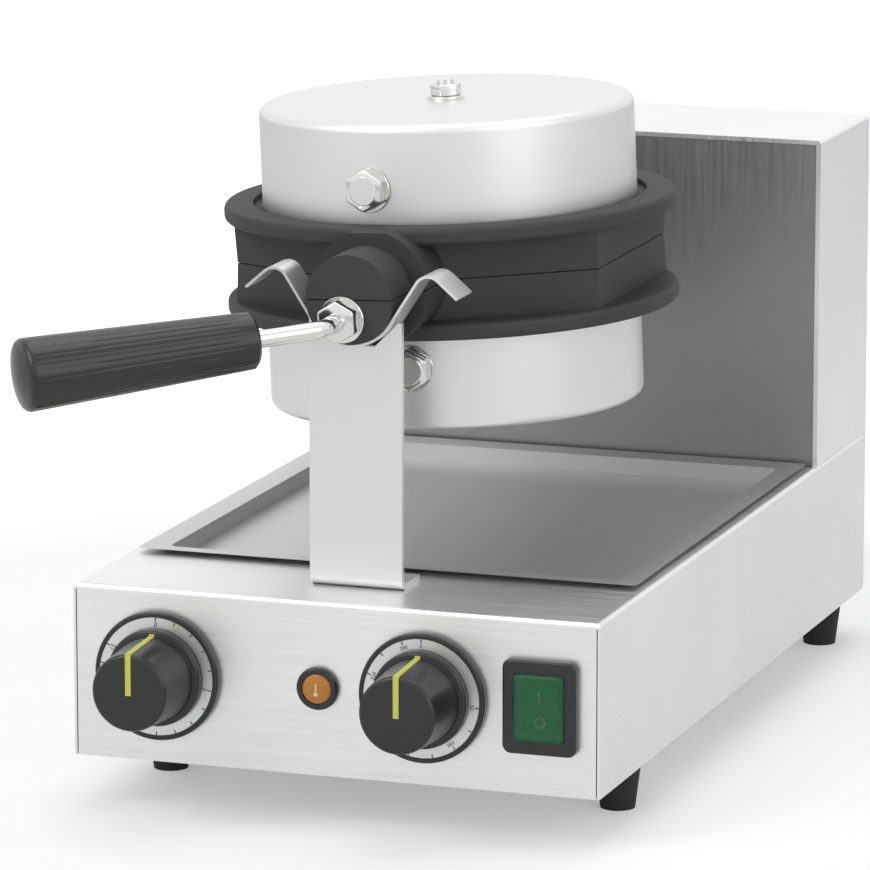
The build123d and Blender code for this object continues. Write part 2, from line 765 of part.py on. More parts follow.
# Bearing housing behind the tower's front plate, with two plain bushes
bearing_y = front_plate_y + sheet
bush_radius = shaft_radius + bush_wall
bearing_length = 46.0
with BuildPart() as bearing_housing:
    with BuildSketch(front_wall(bearing_y)):
        with Locations((0, head_z)):
            Circle(bearing_flange_radius)
            Circle(bush_radius, mode=Mode.SUBTRACT)
            with PolarLocations(bearing_bolt_radius, bearing_bolts, start_angle=45):
                Circle(2.0, mode=Mode.SUBTRACT)
    extrude(amount=-bearing_flange_thickness)
    with BuildSketch(front_wall(bearing_y + bearing_flange_thickness)):
        with Locations((0, head_z)):
            Circle(bush_radius + bearing_wall)
            Circle(bush_radius, mode=Mode.SUBTRACT)
    extrude(amount=-(bearing_length - bearing_flange_thickness))
save(bearing_housing, "bearing_housing")

with BuildPart() as shaft_bushes:
    for y in (bearing_y, bearing_y + bearing_length - bush_length):
        with BuildSketch(front_wall(y)):
            with Locations((0, head_z)):
                Circle(bush_radius)
                Circle(shaft_radius + bearing_clearance, mode=Mode.SUBTRACT)
        extrude(amount=-bush_length)
save(shaft_bushes, "shaft_bushes")

# Collar on the shaft's tail with its stop pin
collar_back = bearing_y + bearing_length + cradle_clearance - head_y
with BuildPart() as shaft_collar:
    with BuildSketch(wall(head, collar_back)):
        Circle(collar_radius)
        Circle(shaft_radius, mode=Mode.SUBTRACT)
    extrude(amount=-collar_width)
    with BuildSketch(cheek(head, collar_radius - 2)):
        with Locations((collar_back + collar_width / 2, 0)):
            Circle(3.0)
    extrude(amount=9.0)
save(shaft_collar, "shaft_collar")


# Rotary controls: bezel, dial ring, knob with its spindle, pointer and the unit behind the panel
def pointer_points(knob_back, knob_front):
    """Side outline of the pointer strip: along the face, down the side and over the skirt."""
    rise = control_z
    top_root = rise + knob_root_radius + pointer_proud
    top_face = rise + knob_face_radius + pointer_proud
    skirt_front = knob_back - skirt_depth - pointer_proud
    face = knob_front - pointer_proud
    return [
        (face, rise - 1.0),
        (face, top_face),
        (skirt_front, top_root),
        (skirt_front, rise + skirt_radius - 1.6),
        (skirt_front + pointer_thickness, rise + skirt_radius - 1.6),
        (skirt_front + pointer_thickness, top_root - pointer_thickness),
        (face + pointer_thickness, top_face - pointer_thickness),
        (face + pointer_thickness, rise - 1.0),
    ]


def make_rotary(x, prefix, unit_width, unit_height, unit_depth):
    """One rotary control centred at x."""
    spot = (x, control_z)
    with BuildPart() as bezel:
        with BuildSketch(front_wall(front_y)):
            with Locations(spot):
                Circle(bezel_radius)
                Circle(dial_bore_radius, mode=Mode.SUBTRACT)
        extrude(amount=bezel_depth)
        outer = bezel.edges().filter_by(GeomType.CIRCLE).group_by(Axis.Y)[0].sort_by(lambda e: e.radius)[-1]
        fillet(outer, 1.2)
        with BuildSketch(front_wall(front_y - bezel_depth)):
            with Locations(spot):
                Circle(dial_radius)
        extrude(amount=-dial_thickness, mode=Mode.SUBTRACT)
    save(bezel, prefix + "_bezel")
    with BuildPart() as dial:
        with BuildSketch(front_wall(front_y - bezel_depth + dial_thickness)):
            with Locations(spot):
                Circle(dial_radius)
                Circle(dial_bore_radius, mode=Mode.SUBTRACT)
        extrude(amount=dial_thickness - 0.2)
    save(dial, prefix + "_dial")
    knob_back = front_y - bezel_depth - knob_gap
    knob_front = front_y - knob_reach
    with BuildPart() as knob:
        with BuildSketch(front_wall(knob_back)):
            with Locations(spot):
                Circle(skirt_radius)
        extrude(amount=skirt_depth)
        fillet(knob.edges().group_by(Axis.Y)[0], 1.6)
        with BuildSketch(front_wall(knob_back - skirt_depth)):
            with Locations(spot):
                Circle(knob_root_radius)
        with BuildSketch(front_wall(knob_front)):
            with Locations(spot):
                Circle(knob_face_radius)
        loft()
        fillet(knob.edges().group_by(Axis.Y)[0], 2.0)
        with BuildSketch(side_wall(x - pointer_width / 2)):
            with BuildLine():
                Polyline(*pointer_points(knob_back, knob_front), close=True)
            make_face()
        extrude(amount=pointer_width, mode=Mode.SUBTRACT)
    save(knob, prefix + "_knob")
    with BuildPart() as pointer:
        with BuildSketch(side_wall(x - pointer_width / 2)):
            with BuildLine():
                Polyline(*pointer_points(knob_back, knob_front), close=True)
            make_face()
        extrude(amount=pointer_width)
    save(pointer, prefix + "_pointer")
    with BuildPart() as spindle:
        with BuildSketch(front_wall(knob_back)):
            with Locations(spot):
                Circle(spindle_radius)
        extrude(amount=-(front_y + sheet - knob_back + 2))
    save(spindle, prefix + "_spindle")
    unit_y = front_y + sheet
    with BuildPart() as unit:
        with BuildSketch(front_wall(unit_y)):
            with Locations(spot):
                RectangleRounded(unit_width, unit_height, 3)
        extrude(amount=-unit_depth)
        with BuildSketch(front_wall(unit_y)):
            with Locations(spot):
                Circle(spindle_radius + hinge_clearance)
        extrude(amount=-3.0, mode=Mode.SUBTRACT)
    save(unit, prefix + "_unit")


make_rotary(timer_x, "timer", 44, 48, 40)
make_rotary(thermostat_x, "thermostat", 38, 38, 30)

# Pilot lamp
lamp_spot = (lamp_x, control_z)
with BuildPart() as pilot_bezel:
    with BuildSketch(front_wall(front_y)):
        with Locations(lamp_spot):
            Circle(lamp_bezel_radius)
    extrude(amount=lamp_bezel_depth)
    fillet(pilot_bezel.faces().sort_by(Axis.Y)[0].edges(), 1.4)
    with BuildSketch(front_wall(front_y - lamp_bezel_depth)):
        with Locations(lamp_spot):
            Circle(lamp_lens_radius + 0.1)
    extrude(amount=-2 * lamp_bezel_depth, mode=Mode.SUBTRACT)
save(pilot_bezel, "pilot_bezel")

lens_dome = 1.6
with BuildPart() as pilot_lens:
    with BuildSketch(Plane(origin=(lamp_x, front_y, control_z), x_dir=(0, -1, 0), z_dir=(1, 0, 0))):
        with BuildLine():
            flat = lamp_bezel_depth - 0.8
            dome_end = (flat + lens_dome, 0)
            Polyline(dome_end, (0, 0), (0, lamp_lens_radius), (flat, lamp_lens_radius))
            middle = (flat + dome_at(lamp_lens_radius, lens_dome, lamp_lens_radius / 2), lamp_lens_radius / 2)
            ThreePointArc((flat, lamp_lens_radius), middle, dome_end)
        make_face()
    revolve(axis=Axis((lamp_x, front_y, control_z), (0, 1, 0)))
save(pilot_lens, "pilot_lens")

with BuildPart() as pilot_body:
    with BuildSketch(front_wall(front_y)):
        with Locations(lamp_spot):
            Circle(lamp_body_radius)
    extrude(amount=-26.0)
save(pilot_body, "pilot_body")

# Rocker switch with its frame, soft cover and body
switch_spot = (switch_x, control_z)
with BuildPart() as switch_frame:
    with BuildSketch(front_wall(front_y)):
        with Locations(switch_spot):
            RectangleRounded(switch_width, switch_height, 4)
    extrude(amount=switch_frame_depth)
    fillet(switch_frame.faces().sort_by(Axis.Y)[0].edges(), 1.3)
    with BuildSketch(front_wall(front_y - switch_frame_depth)):
        with Locations(switch_spot):
            RectangleRounded(cap_width, cap_height, 2)
    extrude(amount=-switch_frame_depth, mode=Mode.SUBTRACT)
save(switch_frame, "switch_frame")

with BuildPart() as switch_cap:
    with BuildSketch(front_wall(front_y)):
        with Locations(switch_spot):
            RectangleRounded(cap_width - 0.2, cap_height - 0.2, 2)
    extrude(amount=cap_depth)
    fillet(switch_cap.faces().sort_by(Axis.Y)[0].edges(), 1.8)
    with BuildSketch(front_wall(front_y)):
        with Locations(switch_spot):
            RectangleRounded(cap_width - 2 * cap_wall, cap_height - 2 * cap_wall, 1.2)
    extrude(amount=cap_depth - cap_wall, mode=Mode.SUBTRACT)
save(switch_cap, "switch_cap")

# Rocker at rest with its lower half pressed in, on a pivot just behind the panel
rocker_pivot_y = front_y + 3.0
rocker_rest = radians(rocker_throw / 2)
rocker_plane = Plane(
    origin=(switch_x - rocker_width / 2, rocker_pivot_y, control_z),
    x_dir=(0, -cos(rocker_rest), -sin(rocker_rest)),
    z_dir=(1, 0, 0),
)
rocker_front = 7.2
rocker_dish = 5.6
with BuildPart() as switch_rocker:
    with BuildSketch(rocker_plane):
        with BuildLine():
            h = rocker_height / 2
            dish = [(rocker_front, h - 1), (rocker_dish, 0), (rocker_front, -h + 1)]
            Polyline(*dish, (3.0, -h), (0, -3), (0, 3), (3.0, h), close=True)
        make_face()
        Circle(3.0)
    extrude(amount=rocker_width)
save(switch_rocker, "switch_rocker")

with BuildPart() as switch_body:
    with BuildSketch(front_wall(front_y + sheet)):
        with Locations(switch_spot):
            Rectangle(cap_width + 4, cap_height + 4)
    extrude(amount=-28.0)
    with BuildSketch(front_wall(front_y + sheet)):
        with Locations(switch_spot):
            Rectangle(rocker_width + 2, rocker_height + 2)
    extrude(amount=-8.0, mode=Mode.SUBTRACT)
save(switch_body, "switch_body")

# Terminal block on the bottom plate
with BuildPart() as terminal_block:
    with BuildSketch(Plane.XY.offset(base_bottom + sheet)):
        with Locations((gland_x - 20, back_y - 60)):
            Rectangle(52, 20)
    extrude(amount=16.0)
    with BuildSketch(Plane.XY.offset(base_bottom + sheet + 16.0)):
        with Locations((gland_x - 20, back_y - 60)):
            with GridLocations(10, 10, 5, 2):
                Circle(2.6)
    extrude(amount=-8.0, mode=Mode.SUBTRACT)
save(terminal_block, "terminal_block")
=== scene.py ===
import math

import bmesh
import bpy
from mathutils import Matrix, Vector


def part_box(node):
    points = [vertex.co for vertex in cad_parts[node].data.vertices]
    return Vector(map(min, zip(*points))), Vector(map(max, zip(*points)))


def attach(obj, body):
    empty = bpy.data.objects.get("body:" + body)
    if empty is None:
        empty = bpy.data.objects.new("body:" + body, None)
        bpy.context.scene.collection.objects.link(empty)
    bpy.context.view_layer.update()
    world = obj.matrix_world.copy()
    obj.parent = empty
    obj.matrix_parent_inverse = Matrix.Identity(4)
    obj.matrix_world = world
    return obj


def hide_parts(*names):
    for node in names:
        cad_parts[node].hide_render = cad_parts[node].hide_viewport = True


bl_info = {
    "name": "Rotating Bubble Waffle Maker",
    "version": (1, 0, 0),
    "blender": (4, 5, 0),
    "location": "View3D > Sidebar > Waffle Maker",
    "description": "Builds the finishes and the fine pieces of a rotating bubble waffle maker",
    "category": "Object",
}

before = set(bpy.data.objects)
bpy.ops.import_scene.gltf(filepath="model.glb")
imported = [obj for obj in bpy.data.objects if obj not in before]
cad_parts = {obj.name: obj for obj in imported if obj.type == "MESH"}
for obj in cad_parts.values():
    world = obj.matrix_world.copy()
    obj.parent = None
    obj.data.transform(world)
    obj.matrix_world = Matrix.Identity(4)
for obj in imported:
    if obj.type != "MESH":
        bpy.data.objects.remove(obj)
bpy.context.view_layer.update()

MM = 0.001
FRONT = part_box("base_housing")[0].y
BASE_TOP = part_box("base_housing")[1].z

# Centre of the head, behind the front and above the base, and its lean at rest
HEAD_BEHIND = 0.163
HEAD_ABOVE = 0.1335
LEAN = math.radians(-2.4)
HEAD = Matrix.Translation((0, FRONT + HEAD_BEHIND, BASE_TOP + HEAD_ABOVE)) @ Matrix.Rotation(LEAN, 4, "Y")
UNDER = HEAD @ Matrix.Rotation(math.pi, 4, "Y")

# Controls on the front panel
CONTROL_Z = 0.0645
DIALS = {"timer": -0.0835, "thermostat": 0.043}
LAMP_X = -0.007
SWITCH_X = 0.098

# Heater drum and the rod of the handle, in millimetres from the centre of the head
DRUM_RADIUS, DRUM_BASE, DRUM_TOP, DRUM_EDGE, DRUM_WALL = 87, 23.3, 70.2, 4, 1.2
SIDE_BOLT_ANGLE, SIDE_BOLT_Z = math.radians(-5.5), 41
ROD_X, ROD_Z, ROD_NUT_Y, ROD_BEND_Y = -3.2, -8.8, -142, -167
ROD_SWING, ROD_DROOP, GRIP_START = math.radians(49.3), math.radians(2.5), 33

# How noise is stretched so that brushing runs along an axis
ALONG_X, ALONG_Y, ALONG_Z = (0.02, 1, 1), (1, 0.02, 1), (1, 1, 0.02)


def grey(level):
    """A neutral colour."""
    return (level, level, level)


def tinted(colour, factor):
    """A darker or lighter form of a colour."""
    return [min(1.0, c * factor) for c in colour]


def lift(z):
    """A move along Z, in millimetres."""
    return Matrix.Translation((0, 0, z * MM))


class Signal:
    """A number that changes over a surface, with arithmetic that adds Math nodes."""

    def __init__(self, graph, socket):
        self.graph = graph
        self.socket = socket

    def __add__(self, other):
        return self.graph.math("ADD", self, other)

    def __sub__(self, other):
        return self.graph.math("SUBTRACT", self, other)

    def __rsub__(self, other):
        return self.graph.math("SUBTRACT", other, self)

    def __mul__(self, other):
        return self.graph.math("MULTIPLY", self, other)

    def __pow__(self, other):
        return self.graph.math("POWER", self, other)

    __radd__ = __add__
    __rmul__ = __mul__


class Graph:
    """A node tree, to which nodes are added."""

    def __init__(self, tree):
        self.tree = tree

    def node(self, kind, settings=None, inputs=None):
        """Add a node, set it up, then feed its inputs with values, sockets or signals."""
        made = self.tree.nodes.new(kind)
        for key, value in (settings or {}).items():
            setattr(made, key, value)
        for key, value in (inputs or {}).items():
            self.feed(made.inputs[key], value)
        return made

    def feed(self, socket, value):
        """Give an input a link or a plain value."""
        if isinstance(value, Signal):
            value = value.socket
        if isinstance(value, bpy.types.NodeSocket):
            self.tree.links.new(value, socket)
        else:
            socket.default_value = value

    def math(self, operation, *values):
        """One Math node."""
        made = self.node("ShaderNodeMath", {"operation": operation}, dict(enumerate(values)))
        return Signal(self, made.outputs[0])

    def spread(self, signal, low, high, start=0.3, end=0.7):
        """Stretch a signal, or the middle of a noise, to run from low to high."""
        inputs = {"Value": signal, "From Min": start, "From Max": end, "To Min": low, "To Max": high}
        return Signal(self, self.node("ShaderNodeMapRange", inputs=inputs).outputs[0])

    def blend(self, factor, first, second):
        """Mix two colours."""
        inputs = {0: factor, 6: (*first, 1), 7: (*second, 1)}
        return self.node("ShaderNodeMix", {"data_type": "RGBA"}, inputs).outputs[2]

    def tone(self, noise, first, second):
        """A colour that runs from one to another with a noise."""
        return self.blend(self.spread(noise, 0, 1), first, second)

    def split(self, vector):
        """The three numbers of a vector."""
        parts = self.node("ShaderNodeSeparateXYZ", inputs={0: vector}).outputs
        return [Signal(self, part) for part in parts]

    def radius(self, x, y):
        """Distance from an axis."""
        return self.math("SQRT", x ** 2 + y ** 2)


class Bench(Graph):
    """The node tree of one finish, around one Principled shader."""

    def __init__(self, name, fixed):
        self.material = bpy.data.materials.new(name)
        self.material.use_nodes = True
        super().__init__(self.material.node_tree)
        self.shader = self.tree.nodes["Principled BSDF"]
        self.coords = self.node("ShaderNodeTexCoord").outputs["Object"]
        for socket, value in fixed.items():
            self.shader.inputs[socket].default_value = value

    def grain(self, scale, stretch=(1, 1, 1), detail=2.0, coords=None):
        """Noise of a size per metre, stretched along the axes."""
        turned = self.node("ShaderNodeMapping", inputs={"Vector": coords or self.coords, "Scale": stretch})
        inputs = {"Vector": turned.outputs[0], "Scale": scale, "Detail": detail}
        return Signal(self, self.node("ShaderNodeTexNoise", inputs=inputs).outputs["Fac"])

    def around(self, place, axis_turn):
        """Distance from an axis, and the height along it, for circular brushing."""
        settings = {"vector_type": "TEXTURE"}
        inputs = {"Vector": self.coords, "Location": place, "Rotation": axis_turn}
        x, y, z = self.split(self.node("ShaderNodeMapping", settings, inputs).outputs[0])
        return self.node("ShaderNodeCombineXYZ", inputs={0: self.radius(x, y), 2: z}).outputs[0]

    def finish(self, colour, roughness=None, height=None, strength=0.2, depth=0.0002):
        """Join what varies to the shader."""
        self.feed(self.shader.inputs["Base Color"], colour)
        if roughness is not None:
            self.feed(self.shader.inputs["Roughness"], roughness)
        if height is not None:
            bump = {"Strength": strength, "Distance": depth, "Height": height}
            self.feed(self.shader.inputs["Normal"], self.node("ShaderNodeBump", inputs=bump).outputs[0])


def brushed_sheet(name, colour, shade, rough, stretch):
    """Stainless sheet with fine straight brush lines and faint handling marks."""
    bench = Bench(name, {"Metallic": 1.0})
    lines = bench.grain(900, stretch, detail=3.0)
    marks = bench.grain(14, detail=4.0)
    tone = bench.tone(lines * 0.6 + marks * 0.4, tinted(colour, shade), colour)
    gloss = bench.spread(lines, rough - 0.05, rough + 0.06) + marks * 0.05
    bench.finish(tone, gloss, lines, strength=0.12, depth=0.00006)


def spun_sheet(name, colour, shade, rough, place, turn):
    """Spun metal, brushed in circles around its own axis, with broad vertical bands of painted reflection,
    lighter and darker, in its colour.
    """
    bench = Bench(name, {"Metallic": 1.0})
    rings = bench.grain(1100, coords=bench.around(place, turn), detail=3.0)
    broad = bench.grain(90, coords=bench.around(place, turn), detail=1.0)
    # Painted reflection: broad vertical stripes, lighter and darker, stand in for the studio's reflections on
    # the metal.
    painted_reflection_bands = bench.grain(17, (1, 1, 0.05), detail=2.0)
    tone = bench.tone(rings * 0.35 + broad * 0.2 + painted_reflection_bands * 0.45, tinted(colour, shade), colour)
    gloss = bench.spread(rings, rough - 0.04, rough + 0.07) + painted_reflection_bands * 0.04
    bench.finish(tone, gloss, rings, strength=0.15, depth=0.00005)


def cast_iron(name, colour):
    """Grey cast iron with a sandy skin and slightly lighter worn spots."""
    bench = Bench(name, {"Metallic": 0.1, "Specular IOR Level": 0.3})
    sand = bench.grain(1500, detail=3.0)
    patches = bench.grain(45, detail=4.0)
    tone = bench.tone(patches * 0.6 + sand * 0.4, tinted(colour, 0.6), tinted(colour, 1.6))
    bench.finish(tone, bench.spread(patches, 0.4, 0.58), sand + patches * 0.5, strength=0.8, depth=0.0005)


def clear_cover(name, colour, half_width=0.0089, half_height=0.0128):
    """Soft cover over the switch: clear in front of the rocker and darker where it is thick."""
    bench = Bench(name, {"Roughness": 0.14})
    x, _, z = bench.split(bench.coords)
    across = bench.math("GREATER_THAN", bench.math("ABSOLUTE", x - SWITCH_X), half_width)
    up = bench.math("GREATER_THAN", bench.math("ABSOLUTE", z - (CONTROL_Z - MM)), half_height)
    bench.feed(bench.shader.inputs["Alpha"], bench.math("MAXIMUM", across, up) * 0.62 + 0.16)
    tone = bench.blend(bench.grain(60), colour, tinted(colour, 1.4))
    bench.finish(tone, height=bench.grain(400), strength=0.03)


def plain_metal(name, colour, rough):
    """Plated or turned metal with a faintly uneven gloss."""
    bench = Bench(name, {"Metallic": 1.0})
    cloud = bench.grain(160, detail=3.0)
    tone = bench.tone(cloud, tinted(colour, 0.84), colour)
    bench.finish(tone, bench.spread(cloud, rough - 0.04, rough + 0.08), cloud, strength=0.08, depth=0.0001)


def moulded(name, colour, rough, texture=0.05, **fixed):
    """Moulded plastic or rubber with a fine skin and slightly uneven gloss."""
    bench = Bench(name, {key.replace("_", " "): value for key, value in fixed.items()})
    skin = bench.grain(1400)
    cloud = bench.grain(60, detail=3.0)
    tone = bench.tone(cloud * 0.7 + skin * 0.3, tinted(colour, 0.85), tinted(colour, 1.1))
    bench.finish(tone, bench.spread(cloud, rough - 0.03, rough + 0.06), skin, texture)


def make_finishes(looks):
    """Every finish of the machine."""
    steel = tuple(looks.sheet_colour)
    brushed_sheet("base_sheet", steel, 0.88, 0.34, ALONG_X)
    brushed_sheet("tower_sheet", steel, 0.93, 0.34, ALONG_Z)
    brushed_sheet("panel_sheet", tuple(looks.panel_colour), 0.92, 0.4, ALONG_Z)
    brushed_sheet("tray_sheet", tuple(looks.tray_colour), 0.92, 0.38, ALONG_Y)
    brushed_sheet("support_steel", grey(0.6), 0.62, 0.33, (1, 1, 0.03))
    # The drums' dark tone, 0.42 of their colour, makes their painted reflection bands deep as well as their
    # brush rings.
    spun_sheet("drum_steel", tuple(looks.drum_colour), 0.42, 0.25, HEAD.translation, (0, LEAN, 0))
    panel_turn = (math.pi / 2, 0, 0)
    for dial, x in DIALS.items():
        spun_sheet(dial + "_silver", (0.76, 0.76, 0.77), 0.88, 0.3, (x, FRONT, CONTROL_Z), panel_turn)
    cast_iron("cast_plate", tuple(looks.cast_colour))
    plain_metal("zinc", (0.5, 0.5, 0.49), 0.2)
    plain_metal("machined_steel", (0.56, 0.56, 0.57), 0.32)
    plain_metal("bronze", (0.6, 0.4, 0.16), 0.35)
    plain_metal("element_steel", (0.3, 0.27, 0.25), 0.45)
    plain_metal("spindle_steel", grey(0.6), 0.3)
    moulded("black_plastic", tuple(looks.black_colour), 0.3, 0.03, Specular_IOR_Level=0.2)
    moulded("gland_plastic", grey(0.03), 0.45, 0.12)
    moulded("foot_rubber", grey(0.02), 0.55, 0.25)
    moulded("pointer_yellow", tuple(looks.pointer_colour), 0.4)
    moulded("mark_black", grey(0.015), 0.5)
    moulded("mark_pale", (0.85, 1.0, 0.88), 0.45)
    moulded("lamp_amber", tuple(looks.lamp_colour), 0.12, 0.03, Coat_Weight=1.0, Subsurface_Weight=0.2)
    moulded("lamp_pale", (0.95, 0.75, 0.5), 0.3, 0.02)
    moulded("rocker_green", tuple(looks.rocker_colour), 0.22, 0.04, Coat_Weight=0.4)
    moulded("inner_plastic", (0.72, 0.7, 0.64), 0.45, 0.1)
    clear_cover("cap_silicone", (0.002, 0.022, 0.014))


def finish_of(name):
    """The finish with that name."""
    return bpy.data.materials[name]


def dress(finish, *nodes):
    """Give CAD nodes their finish."""
    for node in nodes:
        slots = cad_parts[node].data.materials
        slots.clear()
        slots.append(finish_of(finish))


def settle(name, bm, place, body, finish, slot=None, hard=32, replaces=(), weighted=False):
    """Turn a bmesh into a finished piece that rides on a body; its slot is not used."""
    slot = slot or finish
    mesh = bpy.data.meshes.new(name)
    bm.to_mesh(mesh)
    bm.free()
    mesh.transform(place)
    if "custom_normal" in mesh.attributes:
        mesh.attributes.remove(mesh.attributes["custom_normal"])
    mesh.shade_smooth()
    mesh.set_sharp_from_angle(angle=math.radians(hard))
    mesh.materials.append(finish_of(finish))
    piece = bpy.data.objects.new(name, mesh)
    bpy.context.scene.collection.objects.link(piece)
    if weighted:
        normals = piece.modifiers.new("weighted", "WEIGHTED_NORMAL")
        normals.keep_sharp = True
    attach(piece, body)
    if replaces:
        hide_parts(*replaces)


def stand_in(node, name, bm, place, body, finish, slot=None, hard=40, weighted=False):
    """Settle a finer piece that stands for a CAD node."""
    dress(finish, node)
    settle(name, bm, place, body, finish, slot, hard, (node,), weighted)


def fair_copy(node, body, finish, slot=None):
    """A joined and smoothly shaded copy of a CAD node, which stands for it."""
    bm = bmesh.new()
    bm.from_mesh(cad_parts[node].data)
    bmesh.ops.remove_doubles(bm, verts=bm.verts, dist=0.000002)
    stand_in(node, node + "_fair", bm, Matrix(), body, finish, slot, hard=30, weighted=True)


def turned(profile, steps):
    """A turned shape: its outline in millimetres, as radius and height, spun about the axis."""
    bm = bmesh.new()
    points = [bm.verts.new((r * MM, 0, z * MM)) for r, z in profile]
    edges = [bm.edges.new(pair) for pair in zip(points, points[1:])]
    spun = {"cent": (0, 0, 0), "axis": (0, 0, 1), "angle": 2 * math.pi, "steps": steps, "use_merge": True}
    bmesh.ops.spin(bm, geom=points + edges, **spun)
    bmesh.ops.remove_doubles(bm, verts=bm.verts, dist=0.000005)
    bmesh.ops.recalc_face_normals(bm, faces=bm.faces)
    return bm


def round_corner(centre, radius, start, end, steps):
    """Points on an outline's rounded corner, between two angles in degrees."""
    angles = [math.radians(start + (end - start) * n / steps) for n in range(steps + 1)]
    return [(centre[0] + radius * math.cos(a), centre[1] + radius * math.sin(a)) for a in angles]


def hexagon(flats, thickness, chamfer=0.0008, sharp=math.radians(40)):
    """A hexagonal nut or bolt head in millimetres, with softened edges, standing on its base."""
    bm = bmesh.new()
    radius = flats / math.sqrt(3) * MM
    cone = {"segments": 6, "radius1": radius, "radius2": radius, "depth": thickness * MM}
    bmesh.ops.create_cone(bm, cap_ends=True, **cone)
    bmesh.ops.translate(bm, verts=bm.verts, vec=(0, 0, thickness / 2 * MM))
    edges = [e for e in bm.edges if e.is_manifold and e.calc_face_angle() > sharp]
    settings = {"offset": chamfer, "segments": 3, "profile": 0.5, "affect": "EDGES", "material": -1}
    bmesh.ops.bevel(bm, geom=edges, clamp_overlap=True, **settings)
    return bm


def flanged_nut(profile, steps, flats, height, chamfer=0.0008):
    """A hexagonal nut on top of a turned disc."""
    top = max(z for _, z in profile)
    return joined([(turned(profile, steps), Matrix()), (hexagon(flats, height, chamfer), lift(top))])


def block(size):
    """A box of a size in metres."""
    bm = bmesh.new()
    bmesh.ops.create_cube(bm, size=1)
    bmesh.ops.scale(bm, vec=size, verts=bm.verts)
    return bm


def lettering(text, height, depth):
    """A flat word or number as a bmesh, centred, with some depth."""
    curve = bpy.data.curves.new("lettering", "FONT")
    curve.body = text
    curve.size = height
    curve.extrude = depth / 2
    curve.align_x = "CENTER"
    curve.align_y = "CENTER"
    curve.resolution_u = 4
    holder = bpy.data.objects.new("lettering", curve)
    mesh = bpy.data.meshes.new_from_object(holder)
    bm = bmesh.new()
    bm.from_mesh(mesh)
    bpy.data.objects.remove(holder)
    bpy.data.curves.remove(curve)
    bpy.data.meshes.remove(mesh)
    return bm


def joined(parts):
    """Several shapes, each with its own place, in one bmesh."""
    whole = bmesh.new()
    for bm, place in parts:
        mesh = bpy.data.meshes.new("part")
        bm.to_mesh(mesh)
        bm.free()
        mesh.transform(place)
        whole.from_mesh(mesh)
        bpy.data.meshes.remove(mesh)
    return whole


def on_panel(x, out=0.0):
    """Place among the controls on the front panel, with Z coming out of it."""
    return Matrix.Translation((x, FRONT - out * MM, CONTROL_Z)) @ Matrix.Rotation(math.pi / 2, 4, "X")


def colour_of(name, description, value):
    """A colour to set in the sidebar."""
    return bpy.props.FloatVectorProperty(
        name=name, description=description, size=3, subtype="COLOR", default=value
    )


class MachineLooks(bpy.types.PropertyGroup):
    """Sizes and colours of the finished machine."""

    sheet_colour: colour_of("Sheet", "Bright stainless sheet", grey(0.9))
    panel_colour: colour_of("Tower panel", "Front of the tower", grey(0.33))
    drum_colour: colour_of("Drums", "Spun stainless drums", grey(0.45))
    tray_colour: colour_of("Tray", "Drip tray", grey(0.38))
    cast_colour: colour_of("Cast plates", "Grey cast iron", (0.014, 0.014, 0.015))
    black_colour: colour_of("Black parts", "Knobs, grip and bezels", grey(0.005))
    pointer_colour: colour_of("Pointers", "Yellow-green pointers", (0.62, 0.7, 0.1))
    lamp_colour: colour_of("Lamp", "Amber lens", (0.4, 0.13, 0.02))
    rocker_colour: colour_of("Rocker", "Green rocker", (0.004, 0.34, 0.12))
    flute_depth: bpy.props.FloatProperty(
        name="Flute depth", description="Depth of the grip's fine flutes", default=0.00022, unit="LENGTH"
    )
    mark_depth: bpy.props.FloatProperty(
        name="Mark depth", description="How far printed marks stand out", default=0.00012, unit="LENGTH"
    )
    key_power: bpy.props.FloatProperty(
        name="Key light", description="Power of the main lamp", default=13.0, unit="POWER"
    )


class MACHINE_OT_housing(bpy.types.Operator):
    """Finish the base, the tower, the rear cover and everything inside them"""

    bl_idname = "machine.housing"
    bl_label = "Housing"

    def execute(self, context):
        fair_copy("base_housing", "stand", "base_sheet", "housing_sheet")
        fair_copy("tower_shell", "stand", "tower_sheet", "housing_sheet")
        dress("panel_sheet", "tower_front_plate")
        dress("tower_sheet", "rear_cover", "bottom_plate")
        dress("zinc", "foot_screws")
        dress("machined_steel", "bearing_housing", "shaft_collar")
        dress("bronze", "shaft_bushes")
        dress("inner_plastic", "timer_unit", "thermostat_unit", "pilot_body", "switch_body", "terminal_block")
        dress("spindle_steel", "timer_spindle", "thermostat_spindle")
        fair_copy("housing_screws", "stand", "zinc")
        for node in ("cable_gland", "cable_gland_nut"):
            fair_copy(node, "stand", "gland_plastic")
        return {"FINISHED"}


class MACHINE_OT_feet(bpy.types.Operator):
    """Finish the four rubber feet"""

    bl_idname = "machine.feet"
    bl_label = "Feet"

    def execute(self, context):
        for node in ("foot_front_left", "foot_front_right", "foot_rear_left", "foot_rear_right"):
            fair_copy(node, "stand", "foot_rubber")
        return {"FINISHED"}


class MACHINE_OT_tray(bpy.types.Operator):
    """Finish the drip tray"""

    bl_idname = "machine.tray"
    bl_label = "Drip tray"

    def execute(self, context):
        fair_copy("drip_tray", "tray", "tray_sheet")
        return {"FINISHED"}


class MACHINE_OT_support(bpy.types.Operator):
    """Finish the front support and its cradle spring"""

    bl_idname = "machine.support"
    bl_label = "Front support"

    def execute(self, context):
        for node in ("front_upright", "cradle_spring"):
            fair_copy(node, "stand", "support_steel")
        fair_copy("upright_screws", "stand", "zinc")
        return {"FINISHED"}


